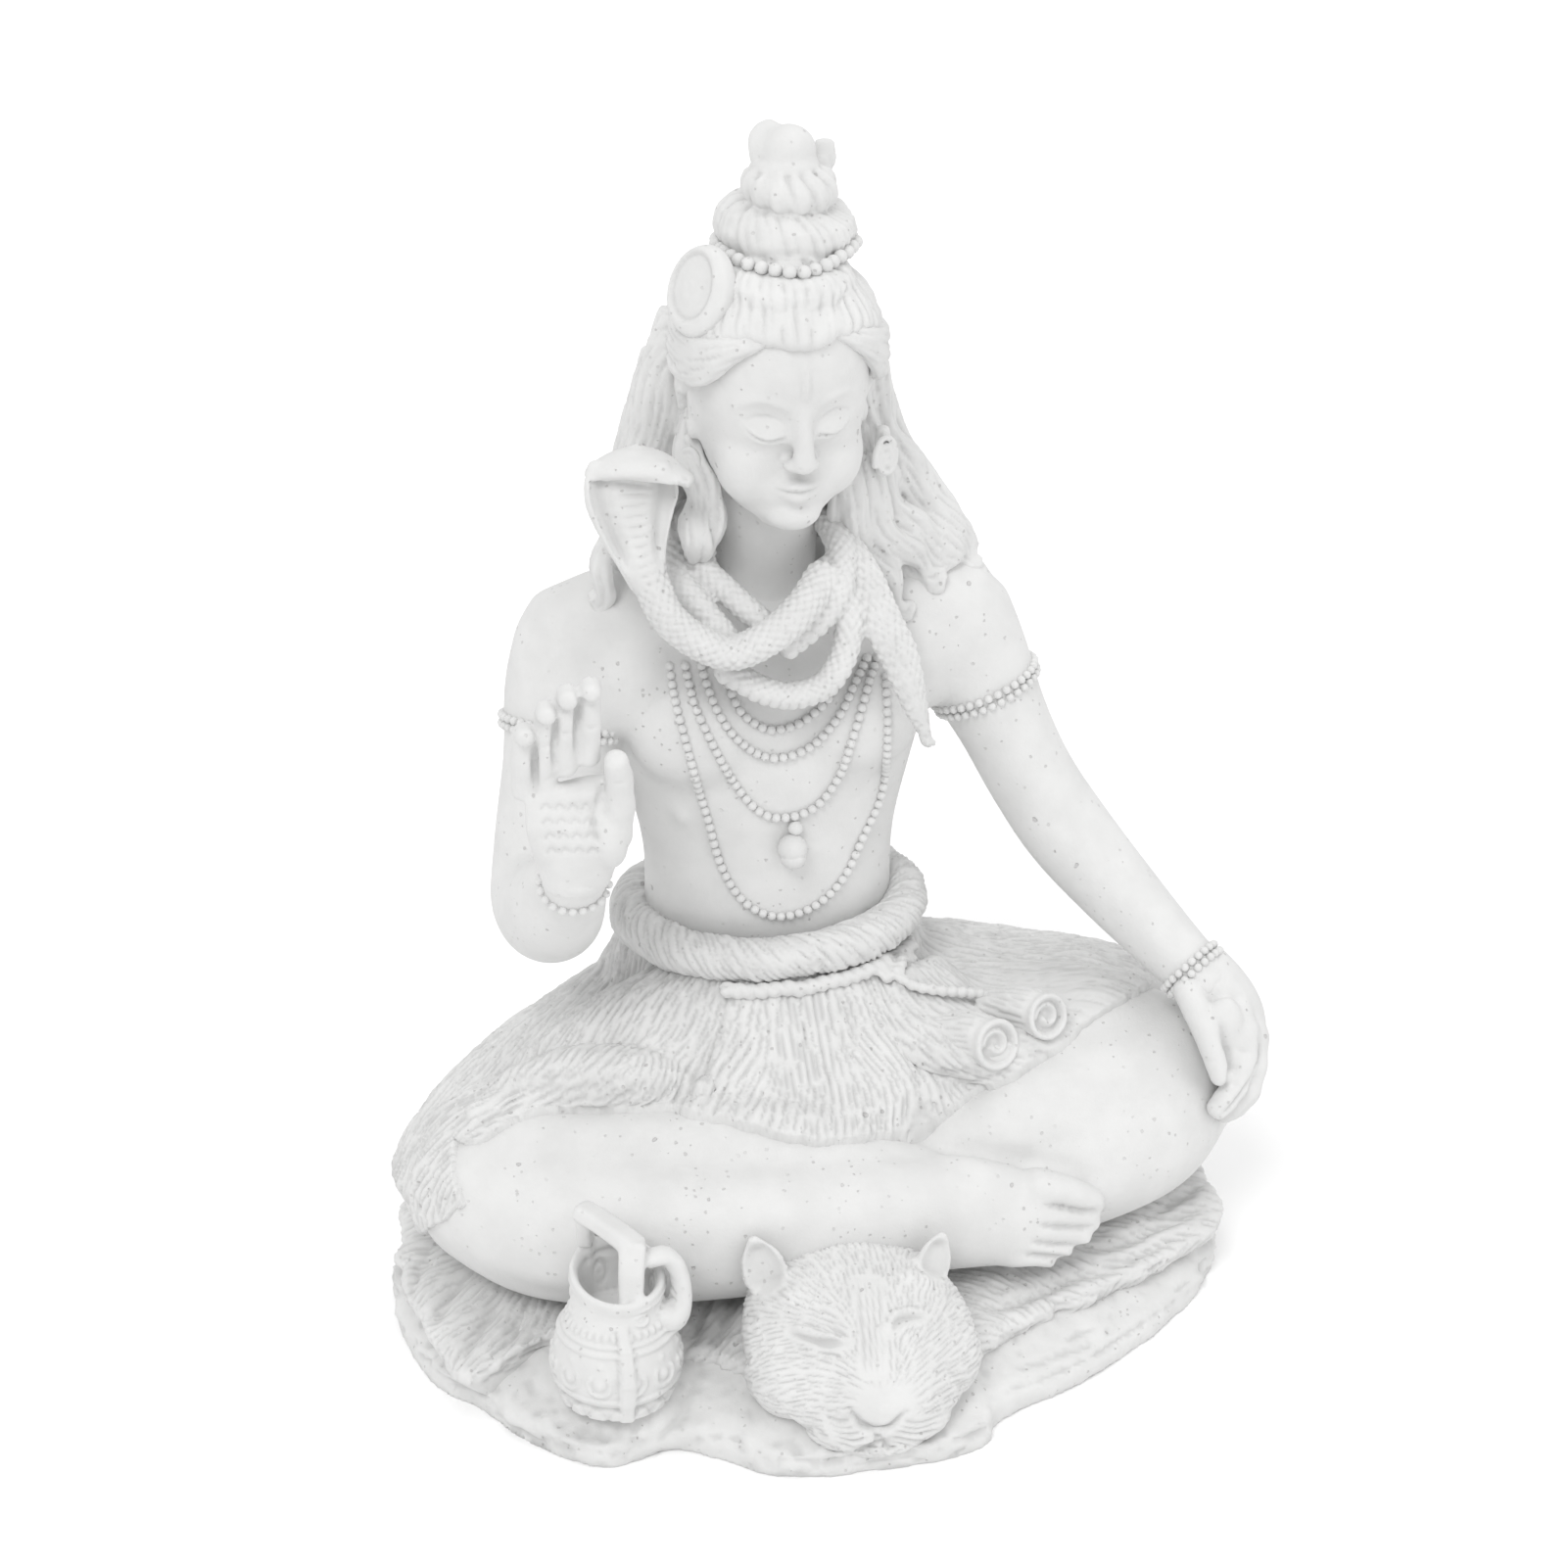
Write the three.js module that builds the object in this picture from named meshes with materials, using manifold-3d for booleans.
// A small seated figure with a cobra round the neck, cast in one piece with the rock and the skin it sits
// on.
// Millimetres, +Z up, the front faces -Y and +X is the viewer's right. The origin is under the middle of
// the casting.
// Most forms are an oval section carried along a smooth line, scaled from the sizes below.
import * as THREE from "three";
import { mergeVertices } from "three/addons/utils/BufferGeometryUtils.js";
import Module from "manifold-3d";

// Driving dimensions.
const figureHeight = 165; // top of the rock to the top of the hair knot
const rockThickness = 9; // underside to the top of the rock
const rockWidth = 126; // the rock, left to right
const rockDepth = 99; // the rock, front to back
const rimThickness = 4.2; // height of the rock's broken edge
const skinThickness = 1.8; // the skin that lies over the rock
const beltThickness = 6.4; // the fur roll round the waist
const snakeThickness = 5; // the cobra's body across the throat
const beadDiameter = 1.7; // beads of the necklaces
const potDiameter = 17; // the water pot at its widest
const potHeight = 19.5; // the water pot without its handle

// The stations below describe a figure 165 tall on a rock 9 thick, 126 wide and 99 deep, with a cobra 5
// thick.
const unit = figureHeight / 165;
const snakeScale = snakeThickness / (5 * unit);

const wasm = await Module();
wasm.setup();

// A point of the figure, its height counted from the underside of the rock.
const at = (x, y, z) => new THREE.Vector3(x * unit, y * unit, rockThickness + (z - 9) * unit);

// A closed three.js geometry as a solid for joining and cutting.
function solid(geometry) {
  const bare = geometry.clone();
  bare.deleteAttribute("normal");
  bare.deleteAttribute("uv");
  const merged = mergeVertices(bare, 1e-4);
  return new wasm.Manifold(
    new wasm.Mesh({
      numProp: 3,
      vertProperties: merged.attributes.position.array,
      triVerts: new Uint32Array(merged.index.array),
    }),
  );
}

const join = (solids) => wasm.Manifold.union(solids);

// Rings of points, each as long as the next, as one closed surface with a point at each end.
function skinRings(rings, first, last) {
  const sides = rings[0].length;
  const points = [first, ...rings.flat(), last];
  const index = [];
  const ringPoint = (ring, side) => 1 + ring * sides + (side % sides);
  for (let side = 0; side < sides; side++) {
    index.push(0, ringPoint(0, side + 1), ringPoint(0, side));
    for (let ring = 0; ring + 1 < rings.length; ring++) {
      const [a, b] = [ringPoint(ring, side), ringPoint(ring, side + 1)];
      const [c, d] = [ringPoint(ring + 1, side), ringPoint(ring + 1, side + 1)];
      index.push(a, b, c, b, d, c);
    }
    index.push(points.length - 1, ringPoint(rings.length - 1, side), ringPoint(rings.length - 1, side + 1));
  }
  return new THREE.BufferGeometry().setFromPoints(points).setIndex(index);
}

// A limb: an oval carried along a smooth line. A station is [x, y, z, half width, half thickness].
// The thickness points towards `face`, the width lies across it. `dome` rounds the two ends, as a share of
// the section.
function limb(stations, { sides = 8, steps = 1, face = [0, 0, 1], dome = 0.6, grow = 1 } = {}) {
  const line = new THREE.CatmullRomCurve3(stations.map(([x, y, z]) => at(x, y, z)), false, "centripetal");
  const spans = (stations.length - 1) * steps;
  const facing = new THREE.Vector3(...face);
  const sections = [];
  for (let i = 0; i <= spans; i++) {
    const t = i / spans;
    const place = Math.min(Math.floor(i / steps), stations.length - 2);
    const share = i / steps - place;
    const half = (k) => THREE.MathUtils.lerp(
      stations[place][k], stations[place + 1][k], share
    ) * unit * grow;
    const along = line.getTangent(t);
    const side = new THREE.Vector3().crossVectors(facing, along).normalize();
    const front = new THREE.Vector3().crossVectors(along, side);
    sections.push({ centre: line.getPoint(t), along, side, front, wide: half(3), thick: half(4) });
  }
  const ring = ({ centre, side, front, wide, thick }, scale = 1, shift = new THREE.Vector3()) =>
    Array.from({ length: sides }, (_, k) => {
      const angle = (2 * Math.PI * k) / sides;
      return centre
        .clone()
        .add(shift)
        .addScaledVector(side, Math.cos(angle) * wide * scale)
        .addScaledVector(front, Math.sin(angle) * thick * scale);
    });
  const [start, end] = [sections[0], sections[spans]];
  const reach = (section, share) =>
    section.along.clone().multiplyScalar(share * dome * Math.min(section.wide, section.thick));
  const rings = sections.map((section) => ring(section));
  if (dome > 0.5) {
    rings.unshift(ring(start, 0.7, reach(start, -0.7)));
    rings.push(ring(end, 0.7, reach(end, 0.7)));
  }
  return solid(
    skinRings(rings, start.centre.clone().add(reach(start, -1)), end.centre.clone().add(reach(end, 1)))
  );
}

// A rounded lump: a sphere stretched to three half sizes, turned, and set down.
function lump([x, y, z], [halfX, halfY, halfZ], { turn = [0, 0, 0], around = 10, rows = 6 } = {}) {
  const geometry = new THREE.SphereGeometry(1, around, rows);
  geometry.rotateX(Math.PI / 2);
  geometry.scale(halfX * unit, halfY * unit, halfZ * unit);
  geometry.applyMatrix4(new THREE.Matrix4().makeRotationFromEuler(new THREE.Euler(...turn)));
  const centre = at(x, y, z);
  geometry.translate(centre.x, centre.y, centre.z);
  return solid(geometry);
}

// A turned form on an upright axis: a profile of [radius, height] over a foot, closed on the axis.
function turned(profile, around, foot, lean = [0, 0, 0]) {
  const points = profile.map(([radius, height]) => new THREE.Vector2(radius, height));
  const geometry = new THREE.LatheGeometry(points, around);
  geometry.rotateX(Math.PI / 2);
  geometry.applyMatrix4(new THREE.Matrix4().makeRotationFromEuler(new THREE.Euler(...lean)));
  geometry.translate(foot.x, foot.y, foot.z);
  return solid(geometry);
}

// A string of beads, drawn as one slim cord of four sides from bead to bead.
function beads(stations, diameter, { steps = 5, closed = false } = {}) {
  const points = stations.map(([x, y, z]) => at(x, y, z));
  const line = new THREE.CatmullRomCurve3(points, closed, "centripetal");
  const half = diameter / 2;
  const section = new THREE.Shape(
    [[half, 0], [0, half], [-half, 0], [0, -half]].map((p) => new THREE.Vector2(...p))
  );
  const count = (stations.length - (closed ? 0 : 1)) * steps;
  return solid(
    new THREE.ExtrudeGeometry(section, { extrudePath: line, steps: count, bevelEnabled: false })
  );
}

// The rock: its outline seen from above, starting at the left and going round by the front.
const rockOutline = [
  [-60.5, -15], [-60, -29], [-57, -40], [-52, -46], [-47, -55], [-37.5, -63.5], [-31.5, -63], [-26, -61.5],
  [-19.5, -66], [-14, -70.5], [-4, -72.5], [7, -72.5], [17.5, -70], [20.5, -64.5], [33, -58.5], [42, -53],
  [52, -45], [60.5, -36], [64, -29], [65.5, -14], [62, 2], [53, 14], [38, 22.5], [16, 26.5], [-8, 26],
  [-30, 22], [-46, 14], [-56, 1],
];

function rock() {
  const [sx, sy] = [rockWidth / 126, rockDepth / 99];
  const middle = (z) => new THREE.Vector3(2 * sx, -22 * sy, z);
  const level = (share, z) =>
    rockOutline.map(([x, y]) => {
      const edge = new THREE.Vector3(x * sx, y * sy, z);
      return edge.sub(middle(z)).multiplyScalar(share).add(middle(z)).setZ(z);
    });
  const shoulder = rimThickness + (rockThickness - rimThickness) * 0.3;
  const rings = [
    level(0.98, 0), level(1, rimThickness * 0.25), level(0.985, rimThickness), level(0.91, shoulder),
    level(0.75, rockThickness),
  ];
  return solid(skinRings(rings, middle(0), middle(rockThickness)));
}

// The skin over the rock: a thin sheet with a torn edge, its hem higher where it runs over the folds.
const skinOutline = [
  [-58, -8, 9], [-59, -22, 8], [-57.5, -35, 7], [-54, -47, 6.5], [-49.5, -46.5, 7.5], [-40.5, -42.5, 8.5],
  [-30, -46, 8.5], [-23.5, -51, 8], [-17, -54, 8], [-9, -66, 7.5], [8, -69, 7.5], [15, -64, 7.5],
  [20.5, -57, 8.5], [30.5, -51.5, 8.5], [37.5, -48, 8.5], [49.5, -42.5, 9], [62, -34, 9.5], [63, -18, 10],
  [60, -2, 10], [51, 10, 9.5], [36, 18, 9.5], [14, 22, 9.5], [-9, 22, 9.5], [-30, 18, 9.5], [-45, 10, 9.5],
  [-54, 2, 9.5],
];

function skinSheet() {
  const level = (share, lift) =>
    skinOutline.map(([x, y, z]) => {
      const point = at(2 + (x - 2) * share, -22 + (y + 22) * share, z);
      point.z += lift * skinThickness;
      return point;
    });
  const rings = [level(0.8, -1.6), level(1, -0.45), level(1, 0.65), level(0.8, 1.65)];
  return solid(skinRings(rings, at(2, -22, 6), at(2, -22, 13)));
}

// The animal's head at the front of the skin, its chin on the rock's edge.
function animalHead() {
  const skull = limb(
    [
      [0, -41, 12, 14, 7], [0, -49, 13.5, 15.5, 7.5], [0.5, -58, 12.5, 13, 6.5], [1.2, -66, 10.5, 9, 4.6],
      [1.4, -70.5, 8.8, 5.4, 2.8],
    ],
    { sides: 12, dome: 0.5 },
  );
  const ear = (side) =>
    limb(
      [
        [side * 11.4, -47, 18, 3.4, 1.6], [side * 12.3, -45.2, 21.5, 3, 1.3],
        [side * 12.6, -43.8, 24.5, 0.8, 0.6],
      ],
      { sides: 6, face: [side * 0.25, -1, 0.35], steps: 1 }
    );
  const muzzle = lump([1.4, -70.6, 10.6], [2.6, 2.6, 2.4], { around: 8, rows: 4 });
  const cheek = (side) => lump([1 + side * 5.4, -67.2, 9.4], [4.2, 3.6, 2.6], { around: 8, rows: 4 });
  return join([skull, ear(-1), ear(1), muzzle, cheek(-1), cheek(1)]);
}

// The water pot: a round-bellied body with a hollow mouth, a square strap handle over it and a spout.
function waterPot() {
  const r = potDiameter / 2;
  const h = potHeight;
  const foot = at(-32.5, -53.5, 8);
  const profile = [
    [0, h * -0.05], [r * 0.76, h * -0.05], [r * 0.82, h * 0.1], [r, h * 0.3], [r * 0.96, h * 0.5],
    [r * 0.68, h * 0.76], [r * 0.78, h], [r * 0.58, h], [r * 0.52, h * 0.84], [0, h * 0.84],
  ];
  const body = turned(profile, 12, foot);
  const strap = limb(
    [
      [-36.5, -50, 24.5, 2, 1.4], [-37.6, -50.3, 31, 2, 1.4], [-35, -51.4, 35, 2, 1.4],
      [-28.5, -53.6, 30.8, 2, 1.4], [-27, -54.2, 25, 2, 1.5],
    ],
    { sides: 4, steps: 1, face: [0.9, -0.35, 0.2] },
  );
  const spout = limb(
    [
      [-27, -55, 19.5, 2.2, 2.2], [-23, -54.5, 22.5, 2.1, 2.1], [-22.8, -53.2, 28, 2, 2],
      [-26.4, -53.2, 30.2, 1.7, 1.7],
    ],
    { sides: 6, dome: 0.5, face: [0, -1, 0] },
  );
  return join([body, strap, spout]);
}

// The legs are folded: the right shin crosses in front of the left one.
function rightLeg() {
  const thigh = limb([[-28, -10, 26.4, 14, 13], [-43, -23, 24, 12.5, 12.5]], { sides: 10, dome: 0.4 });
  const shin = limb(
    [
      [-44.5, -23, 23, 12, 12.6], [-38, -33, 22.5, 11.2, 12], [-24, -39, 22.5, 9.8, 10.6],
      [-8, -42, 22.5, 8.8, 9.2], [8, -43.6, 21.5, 6.6, 7.2], [17, -43.6, 20, 5.6, 6.4],
    ],
    { sides: 10, dome: 0.5 },
  );
  const foot = limb(
    [
      [11, -43, 19.5, 5.2, 6.8], [20, -43.5, 18, 4.8, 7], [28, -44.4, 17.4, 3.8, 6.8],
      [35, -45.4, 17, 2.6, 6.2],
    ],
    { sides: 8, dome: 0.3, face: [0, 0.35, 1] },
  );
  const toe = (k) => {
    const size = k === 0 ? 1.9 : 1.35 - 0.06 * k;
    const z = 22 - 2.55 * k;
    const y = -44 - 0.85 * k;
    const tip = k === 0 ? 42.5 : 39.5 - 1.2 * k;
    return limb(
      [
        [32, y, z, size, size], [tip - 1.6, y - 1, z - 0.4, size, size],
        [tip, y - 0.9, z - 1, size * 0.6, size * 0.6],
      ],
      { sides: 5, dome: 0.3 }
    );
  };
  return join([thigh, shin, foot, ...[0, 1, 2, 3, 4].map(toe)]);
}

function leftLeg() {
  const thigh = limb(
    [[33, -10, 28, 14.5, 13], [50, -17, 28.5, 13, 13], [57, -21, 27.5, 11, 12]], { sides: 10, dome: 0.4 }
  );
  const shin = limb(
    [[57, -20, 26, 10.5, 12], [50, -28.5, 23.5, 10, 11], [36, -35.5, 21.5, 9, 9.6], [20, -38, 20, 7.5, 8]],
    { sides: 10 }
  );
  return join([thigh, shin]);
}

// The fur skirt: a full mass over the hips, a wrap on each thigh and a tongue hanging over the shins.
function skirt() {
  const hips = limb(
    [[0, 2, 10, 37, 21], [0, 2, 22, 34, 20], [0, 1, 36, 28, 18.5], [0, -0.5, 50, 21, 15.5]],
    { sides: 12, face: [0, -1, 0], dome: 0.2 }
  );
  const right = limb(
    [
      [-14, 2, 29, 16.5, 16], [-31, -9, 27, 16.5, 14.6], [-44, -17, 22.5, 14.5, 13.6],
      [-50, -18, 17, 11, 12],
    ],
    { sides: 10, dome: 0.4 }
  );
  const left = limb(
    [[12, 2, 31, 17, 15], [34, -3, 30, 17, 13.8], [50, -9, 29, 15, 12.6], [57, -13, 27, 11, 11]],
    { sides: 10, dome: 0.4 }
  );
  const tongue = limb(
    [
      [-1, -14, 48, 15, 4], [-0.5, -24, 41, 18, 5], [1, -33, 35, 18.5, 4], [2.5, -41.5, 32.4, 16, 1.8],
      [3.5, -46.5, 28.4, 10, 1.2],
    ],
    { sides: 10, steps: 1, face: [0, -0.5, 1], dome: 0.3 }
  );
  const lap = limb(
    [[-26, -14, 26, 14, 10], [-8, -20, 28, 18, 12], [12, -22, 28, 18, 12], [34, -20, 29, 13, 11]],
    { sides: 8, dome: 0.2 }
  );
  const panel = limb(
    [[18, -14, 44, 9, 5], [24, -22, 41, 9.6, 5], [34, -22.6, 39.6, 9, 5], [47, -20, 38.8, 6, 4]],
    { sides: 8, dome: 0.4 }
  );
  return join([hips, right, left, tongue, lap, panel]);
}

// A rolled paw of the skin lying on the left thigh.
const rolledPaw = (x, y, z) => limb(
  [[x - 5.6, y + 5.6, z + 2.4, 3.2, 3.2], [x, y, z, 3.4, 3.4]], { sides: 8, dome: 0.1 }
);

// The fur roll that ties the skirt at the waist.
function belt() {
  const around = 14;
  const [wide, deep] = [20.4, 15.4];
  const loop = Array.from({ length: around }, (_, k) => {
    const angle = (2 * Math.PI * k) / around;
    return at(wide * Math.cos(angle), -0.8 + deep * Math.sin(angle), 53.4 + 0.6 * Math.cos(angle));
  });
  const half = beltThickness / 2;
  const line = new THREE.CatmullRomCurve3(loop, true);
  const steps = 18;
  const rings = Array.from({ length: steps }, (_, k) => {
    const t = k / steps;
    const centre = line.getPoint(t);
    const along = line.getTangent(t);
    const up = new THREE.Vector3(0, 0, 1);
    const out = new THREE.Vector3().crossVectors(along, up).normalize();
    return Array.from({ length: 6 }, (_, j) => {
      const angle = (2 * Math.PI * j) / 6;
      return centre.clone().addScaledVector(
        out, Math.cos(angle) * half * 1.05
      ).addScaledVector(up, Math.sin(angle) * half);
    });
  });
  return solid(ringLoop(rings));
}

// Rings of points that close on themselves, such as a roll round a waist.
function ringLoop(rings) {
  const sides = rings[0].length;
  const index = [];
  const ringPoint = (ring, side) => (ring % rings.length) * sides + (side % sides);
  for (let ring = 0; ring < rings.length; ring++)
    for (let side = 0; side < sides; side++) {
      const [a, b] = [ringPoint(ring, side), ringPoint(ring, side + 1)];
      const [c, d] = [ringPoint(ring + 1, side), ringPoint(ring + 1, side + 1)];
      index.push(a, c, b, b, c, d);
    }
  return new THREE.BufferGeometry().setFromPoints(rings.flat()).setIndex(index);
}

function torso() {
  const trunk = limb(
    [
      [0, 0, 44, 20, 14.5], [0, -1, 56, 18.6, 13.4], [0, -1, 66, 19, 12.6], [0, -0.5, 77, 21.6, 13.2],
      [0, 0.5, 87, 24.5, 12.8], [0, 2.4, 97, 24, 10], [0, 3.2, 106, 12, 8],
    ],
    { sides: 12, face: [0, -1, 0], dome: 0.2 },
  );
  const yoke = limb(
    [
      [-30, 2, 96.4, 8, 8.4], [-18, 3.4, 98.6, 9, 9], [0, 4, 99.6, 9, 10], [18, 3.4, 98.6, 9, 9],
      [30, 2, 96.4, 8, 8.4],
    ],
    { sides: 8, face: [0, -1, 0], dome: 0.4 },
  );
  const breast = (side) => lump([side * 10.8, -8.6, 84.5], [10.6, 6.8, 8.4], { around: 8, rows: 5 });
  const neck = limb(
    [[0, 3, 98, 8.4, 8], [0, 0.6, 110, 7.4, 7.4], [0.2, -3, 124, 7.6, 8.2]], { sides: 10, dome: 0.2 }
  );
  return join([trunk, yoke, breast(-1), breast(1), neck]);
}

function rightArm() {
  const upper = limb(
    [
      [-27, 2.8, 95.6, 9.2, 9.2], [-29, 1, 89, 9, 9.2], [-30.8, -1.6, 80, 8, 8.2], [-33, -5, 70, 7.8, 8],
      [-34.4, -8.5, 61.5, 8, 7.8],
    ],
    { sides: 10, face: [0, -1, 0] },
  );
  const fore = limb(
    [
      [-34.6, -8, 61, 7.6, 8], [-34.6, -16, 63.6, 7.6, 8], [-34.2, -25, 70, 6.2, 6.6],
      [-33.6, -32, 76.5, 4.8, 4.2], [-33.5, -34.2, 80, 5, 3.6],
    ],
    { sides: 10, face: [0, -0.5, 1] }
  );
  return join([upper, fore]);
}

// The raised hand: the palm faces forward, the fingers up, and the thumb on the figure's left.
function raisedHand() {
  const forward = [0.1, -1, 0.2];
  const palm = limb(
    [
      [-33.5, -33.6, 78, 4.8, 3.4], [-33.4, -35.2, 83, 6, 3.2], [-33.8, -36, 88.5, 6.6, 2.8],
      [-34.4, -36.2, 93, 6.2, 2.2],
    ],
    { sides: 8, dome: 0.5, face: forward }
  );
  const fingers = [
    [[-30, -36.2, 91.5], [-30.4, -36.4, 99], [-31, -37.8, 105.6]],
    [[-33, -36.4, 92.5], [-34, -36.8, 100.5], [-34.6, -38.6, 107]],
    [[-36, -36.2, 91.5], [-37.4, -36.6, 99], [-38, -38.6, 104.8]],
    [[-38.6, -35.8, 89], [-40.8, -36.4, 95.4], [-42.4, -37.8, 99.6]],
  ].map(
    (joints) => limb(
      joints.map((p, k) => [...p, 1.65 - 0.12 * k, 1.65 - 0.12 * k]), { sides: 5, dome: 0.5, face: forward }
    )
  );
  const thumb = limb(
    [[-29.6, -35.4, 82, 2.6, 2.8], [-27.4, -37, 89.5, 2.4, 2.4], [-27.4, -38.6, 96.6, 2.1, 1.9]],
    { sides: 6, dome: 0.5, face: forward }
  );
  return join([palm, ...fingers, thumb]);
}

function leftArm() {
  const upper = limb(
    [
      [28, 2.4, 95, 9.2, 9.2], [31, 0.4, 88.6, 8.4, 9], [34.8, -1.8, 80, 7, 8], [39, -4, 71, 6.6, 7.6],
      [44, -7.8, 63, 6.6, 7.2], [50.8, -14.4, 55, 5.8, 6.4], [57.6, -22, 48, 4.6, 4.8],
    ],
    { sides: 10, face: [0, -1, 0] },
  );
  return upper;
}

// The left hand hangs over the knee, fingers down.
function restingHand() {
  const back = limb(
    [
      [56.4, -21, 49, 4.8, 3.8], [61.4, -25.6, 43.6, 6, 3.6], [65.4, -28.6, 37, 6.4, 3.4],
      [66.6, -29.8, 32.5, 5.8, 2.8],
    ],
    { sides: 8, dome: 0.5, face: [0.9, -0.2, 0.5] }
  );
  const finger = (k) => {
    const y = -33.6 + 3.1 * k;
    const out = 0.5 * k - 0.14 * k * k;
    return limb(
      [
        [66.4 + out, y, 34, 1.7, 1.7], [68.2 + out, y + 0.4, 29, 1.6, 1.6],
        [66 + out, y + 0.6, 24 + 0.5 * k, 1.35, 1.35],
      ],
      { sides: 5, dome: 0.5, face: [1, 0, 0.2] }
    );
  };
  const thumb = limb(
    [[58.8, -27.4, 44, 2.8, 2.6], [61, -32, 38.5, 2.2, 2.1], [62.2, -34.6, 32.6, 1.9, 1.7]],
    { sides: 6, dome: 0.5 }
  );
  return join([back, ...[0, 1, 2, 3].map(finger), thumb]);
}

// The head leans forward. Its stations are heights over the middle of the head, before it is leaned.
const headMiddle = [0.4, -6.4, 138];
const headLean = 0.2;
function onHead(x, y, z) {
  const [cos, sin] = [Math.cos(headLean), Math.sin(headLean)];
  return [headMiddle[0] + x, headMiddle[1] + y * cos - z * sin, headMiddle[2] + z * cos + y * sin];
}

function head() {
  const skull = limb(
    [
      [0, -9.6, -17, 3.4, 2.8], [0, -7.6, -14.6, 6.4, 6.2], [0, -4.4, -11, 8.8, 9.4],
      [0, -2.2, -7, 10.4, 11.6], [0, -0.8, -2, 11.5, 12.8], [0, 0, 4, 12, 13.6], [0, 0.5, 11, 11, 12.4],
      [0, 0.8, 16, 6, 7],
    ].map(
      ([x, y, z, a, b]) => [...onHead(x, y, z), a, b],
    ),
    { sides: 14, face: [0, -1, 0], dome: 0.3 },
  );
  const form = (stations, options) => limb(
    stations.map(([x, y, z, a, b]) => [...onHead(x, y, z), a, b]), options
  );
  const nose = form(
    [[0, -12.6, 4.4, 1.3, 1.2], [0, -14.6, -1, 1.5, 1.6], [0, -15.8, -4.4, 2.3, 1.7]],
    { sides: 6, dome: 0.5, face: [0, -1, 0] }
  );
  const lips = form(
    [[-3.4, -12, -8.6, 0.7, 0.8], [0, -13.6, -8.8, 1.4, 1.2], [3.4, -12, -8.6, 0.7, 0.8]],
    { sides: 5, dome: 0.5, face: [0, -1, 0] }
  );
  const chin = lump(onHead(0, -10.6, -14), [3.6, 3, 2.8], { around: 8, rows: 5 });
  const ear = (side) => lump(onHead(side * 11.8, 1, -1.5), [1.6, 2.6, 4.6], { around: 6, rows: 3 });
  return join([skull, nose, lips, chin, ear(-1), ear(1)]);
}

// The hair: a cap swept up to the knot, a flattened moon on the right of it, and the coiled knot with its
// beads.
const knotFoot = at(1.4, -4.2, 153.4);
function hairCap() {
  const cap = lump(onHead(0, 2.6, 6), [14, 14.8, 12.2], { turn: [0.12, 0, 0], around: 12, rows: 6 });
  const brim = limb(
    [
      [-12.2, -2.6, 3, 2.6, 2.6], [-9.6, -8.8, 9, 2.6, 2.4], [0, -11, 12.2, 2.8, 2.6],
      [9.6, -8.8, 9, 2.6, 2.4], [12.2, -2.6, 3, 2.6, 2.6],
    ].map(
      ([x, y, z, a, b]) => [...onHead(x, y, z), a, b],
    ),
    { sides: 6, dome: 0.5 },
  );
  const moon = lump([-11.6, -9, 151.4], [5, 1.8, 6.2], { turn: [0.1, -0.2, -0.5], around: 10, rows: 4 });
  return join([cap, brim, moon]);
}

function hairKnot() {
  const s = unit;
  const profile = [
    [0, -4], [9.6, -4], [9.4, 1], [8.9, 1.4], [9.8, 4.2], [8.4, 7.4], [5.9, 8.4], [6.8, 11], [5.4, 13.6],
    [0, 14.8],
  ].map(([r, h]) => [r * s, h * s]);
  const coils = turned(profile, 12, knotFoot);
  const face = lump([3.4, -4.6, 169.4], [2.8, 2.6, 3], { around: 8, rows: 5 });
  const spray = limb(
    [[1.4, -4, 167.4, 1.2, 1.1], [0.2, -4.2, 170.6, 1.3, 1.1], [0.4, -4.4, 173, 1, 0.9]],
    { sides: 6, steps: 1 }
  );
  const back = lump([5.6, -2.2, 168.4], [2.2, 1.8, 3], { around: 6, rows: 4 });
  return join([coils, face, spray, back]);
}

// Long locks, from behind the ears down over the shoulders and the back.
function locks() {
  const right = [
    [
      [-12.6, -1, 144, 3, 2.6], [-14.6, 1.5, 132, 4, 3.4], [-16.4, 4, 119, 4.6, 3.6], [-19, 6, 108, 4.2, 3],
      [-21, 7, 99, 2, 1.6],
    ],
    [
      [-10.8, -3.6, 138, 2, 2], [-11, -5.4, 127, 2.4, 2.2], [-9, -7.4, 118, 2.6, 2.2],
      [-10.6, -8.6, 109, 2, 1.8],
    ],
  ];
  const left = [
    [
      [11.6, -1, 145, 3, 3], [13.8, -0.4, 133, 3.6, 3.4], [18, 0.6, 121, 4.6, 3.8], [25, 1.4, 112, 4.6, 3],
      [30, 1.4, 105.4, 2, 1.6],
    ],
    [
      [12.6, -4, 134, 2.4, 2.2], [15.6, -5.4, 123.5, 3, 2.6], [19.6, -6.4, 114, 3.4, 2.6],
      [24, -7.4, 106, 2.8, 2], [26, -8.6, 99, 1.2, 1],
    ],
    [
      [11.4, -6.4, 127, 2, 2], [13.6, -9, 118, 2.6, 2.2], [16.6, -10.6, 110, 2.8, 2],
      [18.4, -11.4, 103, 2, 1.4],
    ],
  ];
  const strand = (stations) => limb(stations, { sides: 5, face: [0, -1, 0], dome: 0.4 });
  const nape = limb(
    [
      [0, 7.6, 146, 12.4, 5], [0, 10, 128, 15.4, 6], [0, 12, 110, 15.6, 5.4], [0, 13, 97, 11, 3.4],
      [0, 12.4, 88, 4, 2],
    ],
    { sides: 10, face: [0, -1, 0], dome: 0.4 }
  );
  return join([nape, ...[...right, ...left].map(strand)]);
}

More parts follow.
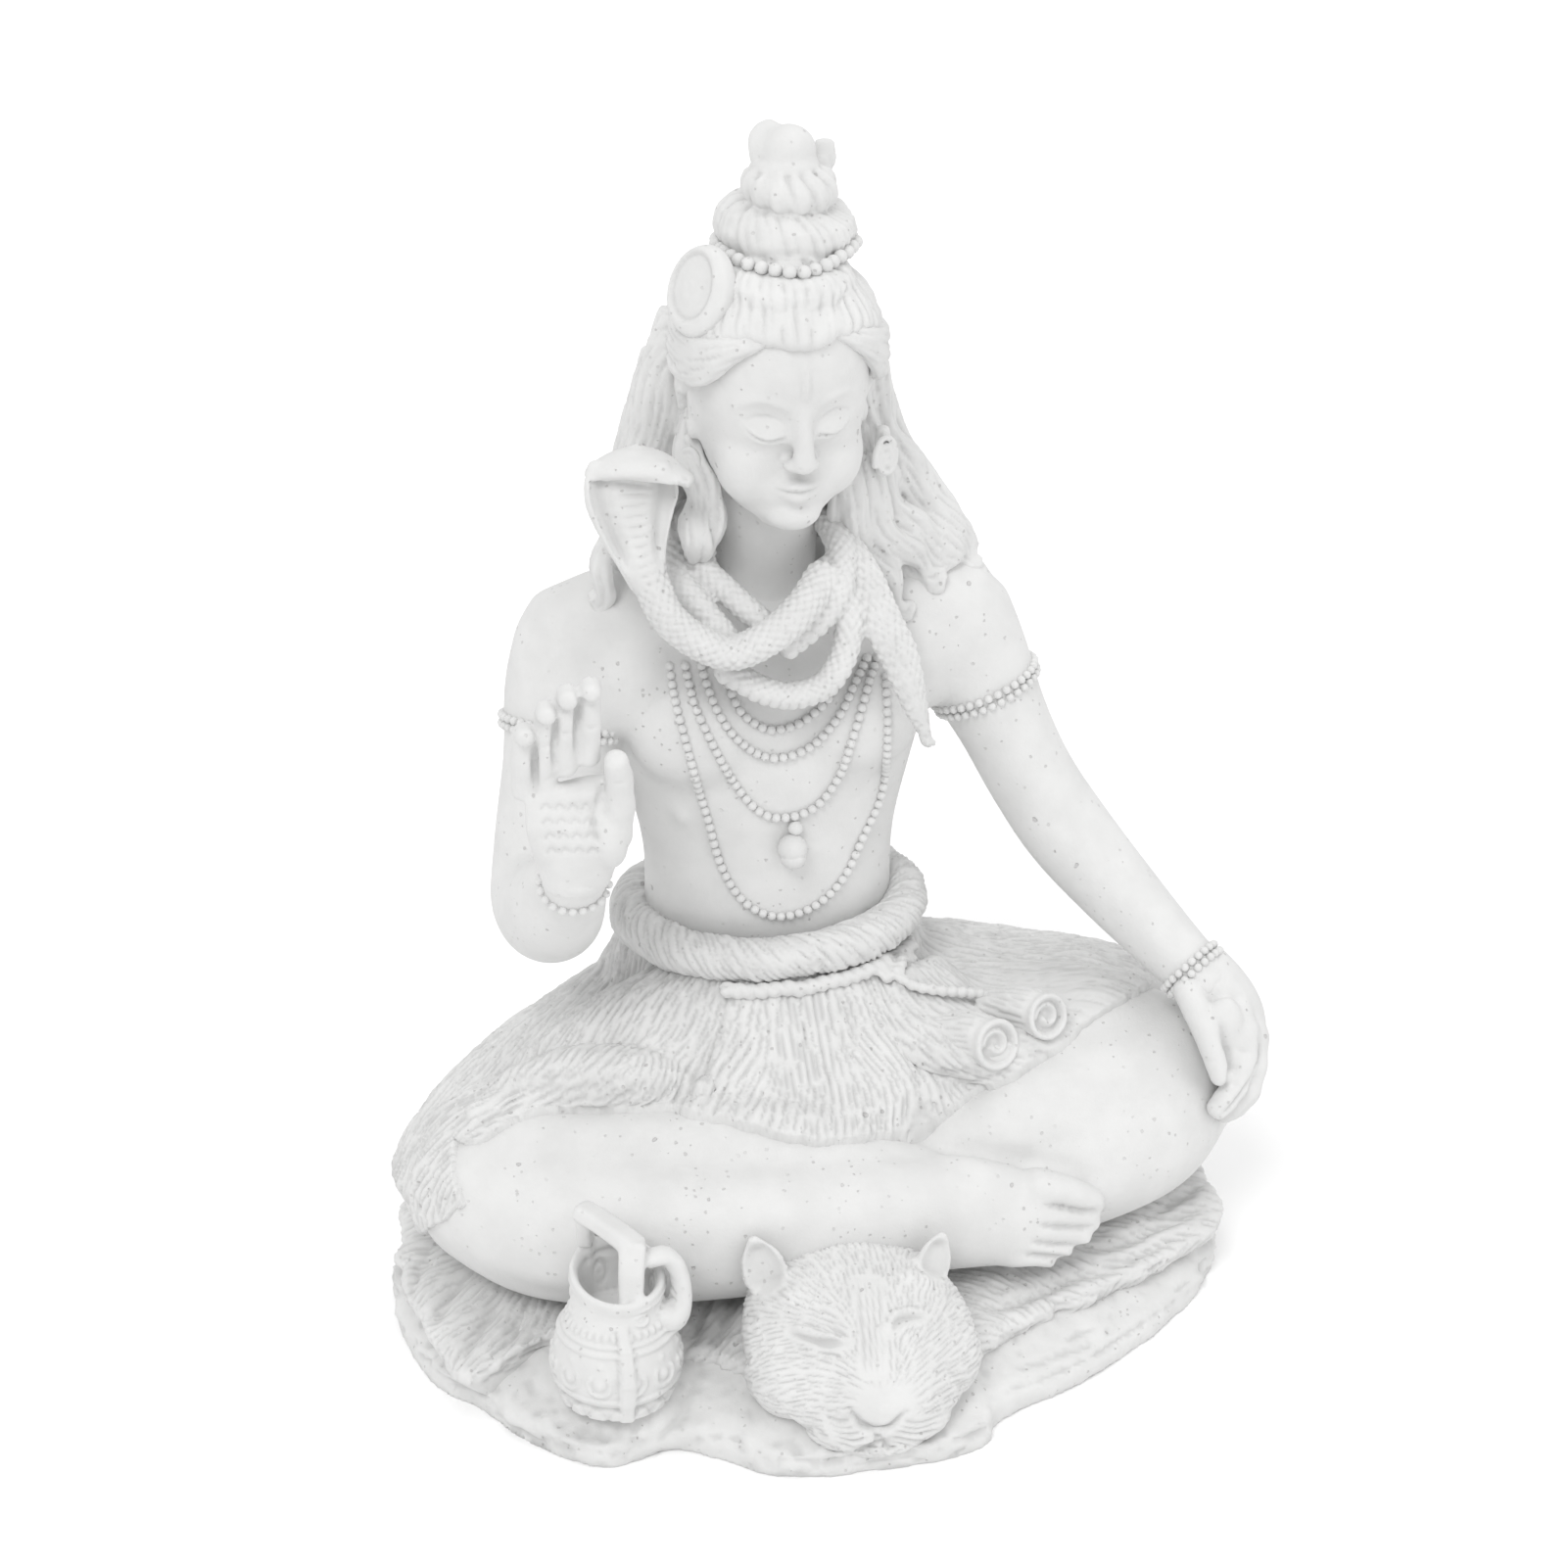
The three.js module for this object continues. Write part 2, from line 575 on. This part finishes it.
// The cobra: two turns round the throat, the spread hood beside the head, and the tail down the left
// breast.
function cobra() {
  const body = (thick, places) =>
    limb(places.map((place) => [...place, thick, thick]), { sides: 5, grow: snakeScale, dome: 0.5 });
  const front = body(
    2.5,
    [
      [-19.7, -15, 113.5], [-17.3, -17, 107.9], [-13, -18.4, 104.2], [-8.2, -19, 102.6], [-2.8, -19, 104.9],
      [1.6, -17.4, 107.8], [5.6, -13, 110.4],
    ]
  );
  const upright = body(
    2.1,
    [
      [7, -1, 115], [8.4, -6, 114.2], [8.8, -10.6, 111.8], [7.5, -14, 108.5], [4.5, -15.6, 105],
      [-0.6, -16.6, 101.6],
    ]
  );
  const low = body(
    2.1,
    [
      [6.6, -10, 110.6], [8.8, -13.6, 106.4], [8.4, -15.6, 100.4], [5.4, -16.8, 95.6], [0.5, -17.4, 94.3],
      [-4.2, -17, 95.5], [-9.4, -15.2, 98.6],
    ]
  );
  const left = body(2, [[-9, -2, 114], [-10.6, -8.4, 111.4], [-7.8, -12.4, 108.7], [-3.6, -15.6, 105]]);
  const outer = body(2, [[-13.6, -3, 112], [-14.1, -10, 109.8], [-12, -13.4, 107.3], [-9, -16, 103.6]]);
  const tail = limb(
    [
      [9.6, -6, 113, 2.2, 2], [11.8, -11.6, 108.6, 2.7, 1.9], [13.6, -15, 103.4, 2.9, 1.7],
      [16, -16, 98, 2.8, 1.5], [18, -16.2, 91.4, 2, 1.3], [20, -15.4, 84, 0.8, 0.9],
    ],
    { sides: 6, face: [0, -1, 0.2], grow: snakeScale, dome: 0.5 },
  );
  const hood = limb(
    [
      [-19.7, -15, 112.6, 2.6, 2.2], [-20.4, -14.6, 116.4, 3, 1.6], [-21, -13.8, 120.6, 4.8, 1.4],
      [-21.2, -12.4, 125, 6.4, 1.4], [-20.6, -10.6, 128.4, 5.6, 1.3],
    ],
    { sides: 8, face: [0.15, -1, 0.2], dome: 0.6 },
  );
  const snout = limb(
    [
      [-24, -8.6, 128.2, 3, 1.5], [-20, -10.4, 129.4, 4.4, 1.9], [-16.8, -12.8, 128.8, 3, 1.7],
      [-13.8, -15.6, 127.6, 1.4, 0.9],
    ],
    { sides: 8 }
  );
  return join([front, upright, low, left, outer, tail, hood, snout]);
}

// Strings of beads on the chest, each a hanging loop from one side of the throat to the other.
function necklaces() {
  const strings = [
    [[-13, -14.6, 98], [-8.6, -17.2, 87], [0, -16.6, 81.4], [8.6, -17, 87.4], [13.6, -14.6, 99]],
    [
      [-16, -13.4, 98], [-11.6, -17, 84], [-6, -16.2, 74.8], [0.6, -15.2, 71.6], [8, -16.4, 77],
      [12.4, -16.6, 88], [14.6, -14, 99],
    ],
    [
      [-18.6, -12.4, 98], [-14.6, -16.2, 82], [-11.4, -14.4, 68], [-5, -14.2, 58.8], [2, -14.4, 57.8],
      [9, -14.2, 63.6], [13.6, -15, 75], [16, -15.8, 88], [17.4, -13.6, 96],
    ],
  ];
  const pendant = lump([0.6, -14.6, 68], [2.2, 2.2, 2.4], { around: 8, rows: 6 });
  return join([...strings.map((s) => beads(s, beadDiameter * 1.2, { steps: 2 })), pendant]);
}

const figure = join(
  [
    rock(), skinSheet(), animalHead(), waterPot(), rightLeg(), leftLeg(), skirt(), belt(), torso(),
    rightArm(), raisedHand(), leftArm(), restingHand(), head(), hairCap(), hairKnot(), locks(), cobra(),
    necklaces(), rolledPaw(27.6, -31.4, 42.6), rolledPaw(36.4, -28.6, 44.6),
  ]
);

const { vertProperties, triVerts, numProp } = figure.getMesh();
const position = new Float32Array((vertProperties.length / numProp) * 3);
for (let i = 0; i < position.length / 3; i++) position.set(
  vertProperties.subarray(i * numProp, i * numProp + 3), i * 3
);
const castGeometry = new THREE.BufferGeometry()
  .setAttribute("position", new THREE.BufferAttribute(position, 3))
  .setIndex(new THREE.BufferAttribute(triVerts, 1));
castGeometry.computeBoundingBox();

const castStone = new THREE.MeshStandardMaterial({ color: 0xecebe8, roughness: 0.72, metalness: 0 });
const cast = new THREE.Mesh(castGeometry, castStone);
cast.name = "figure";
const middle = castGeometry.boundingBox.getCenter(new THREE.Vector3());
cast.position.set(-middle.x, -middle.y, 0);

const group = new THREE.Group();
group.add(cast);
export default group;
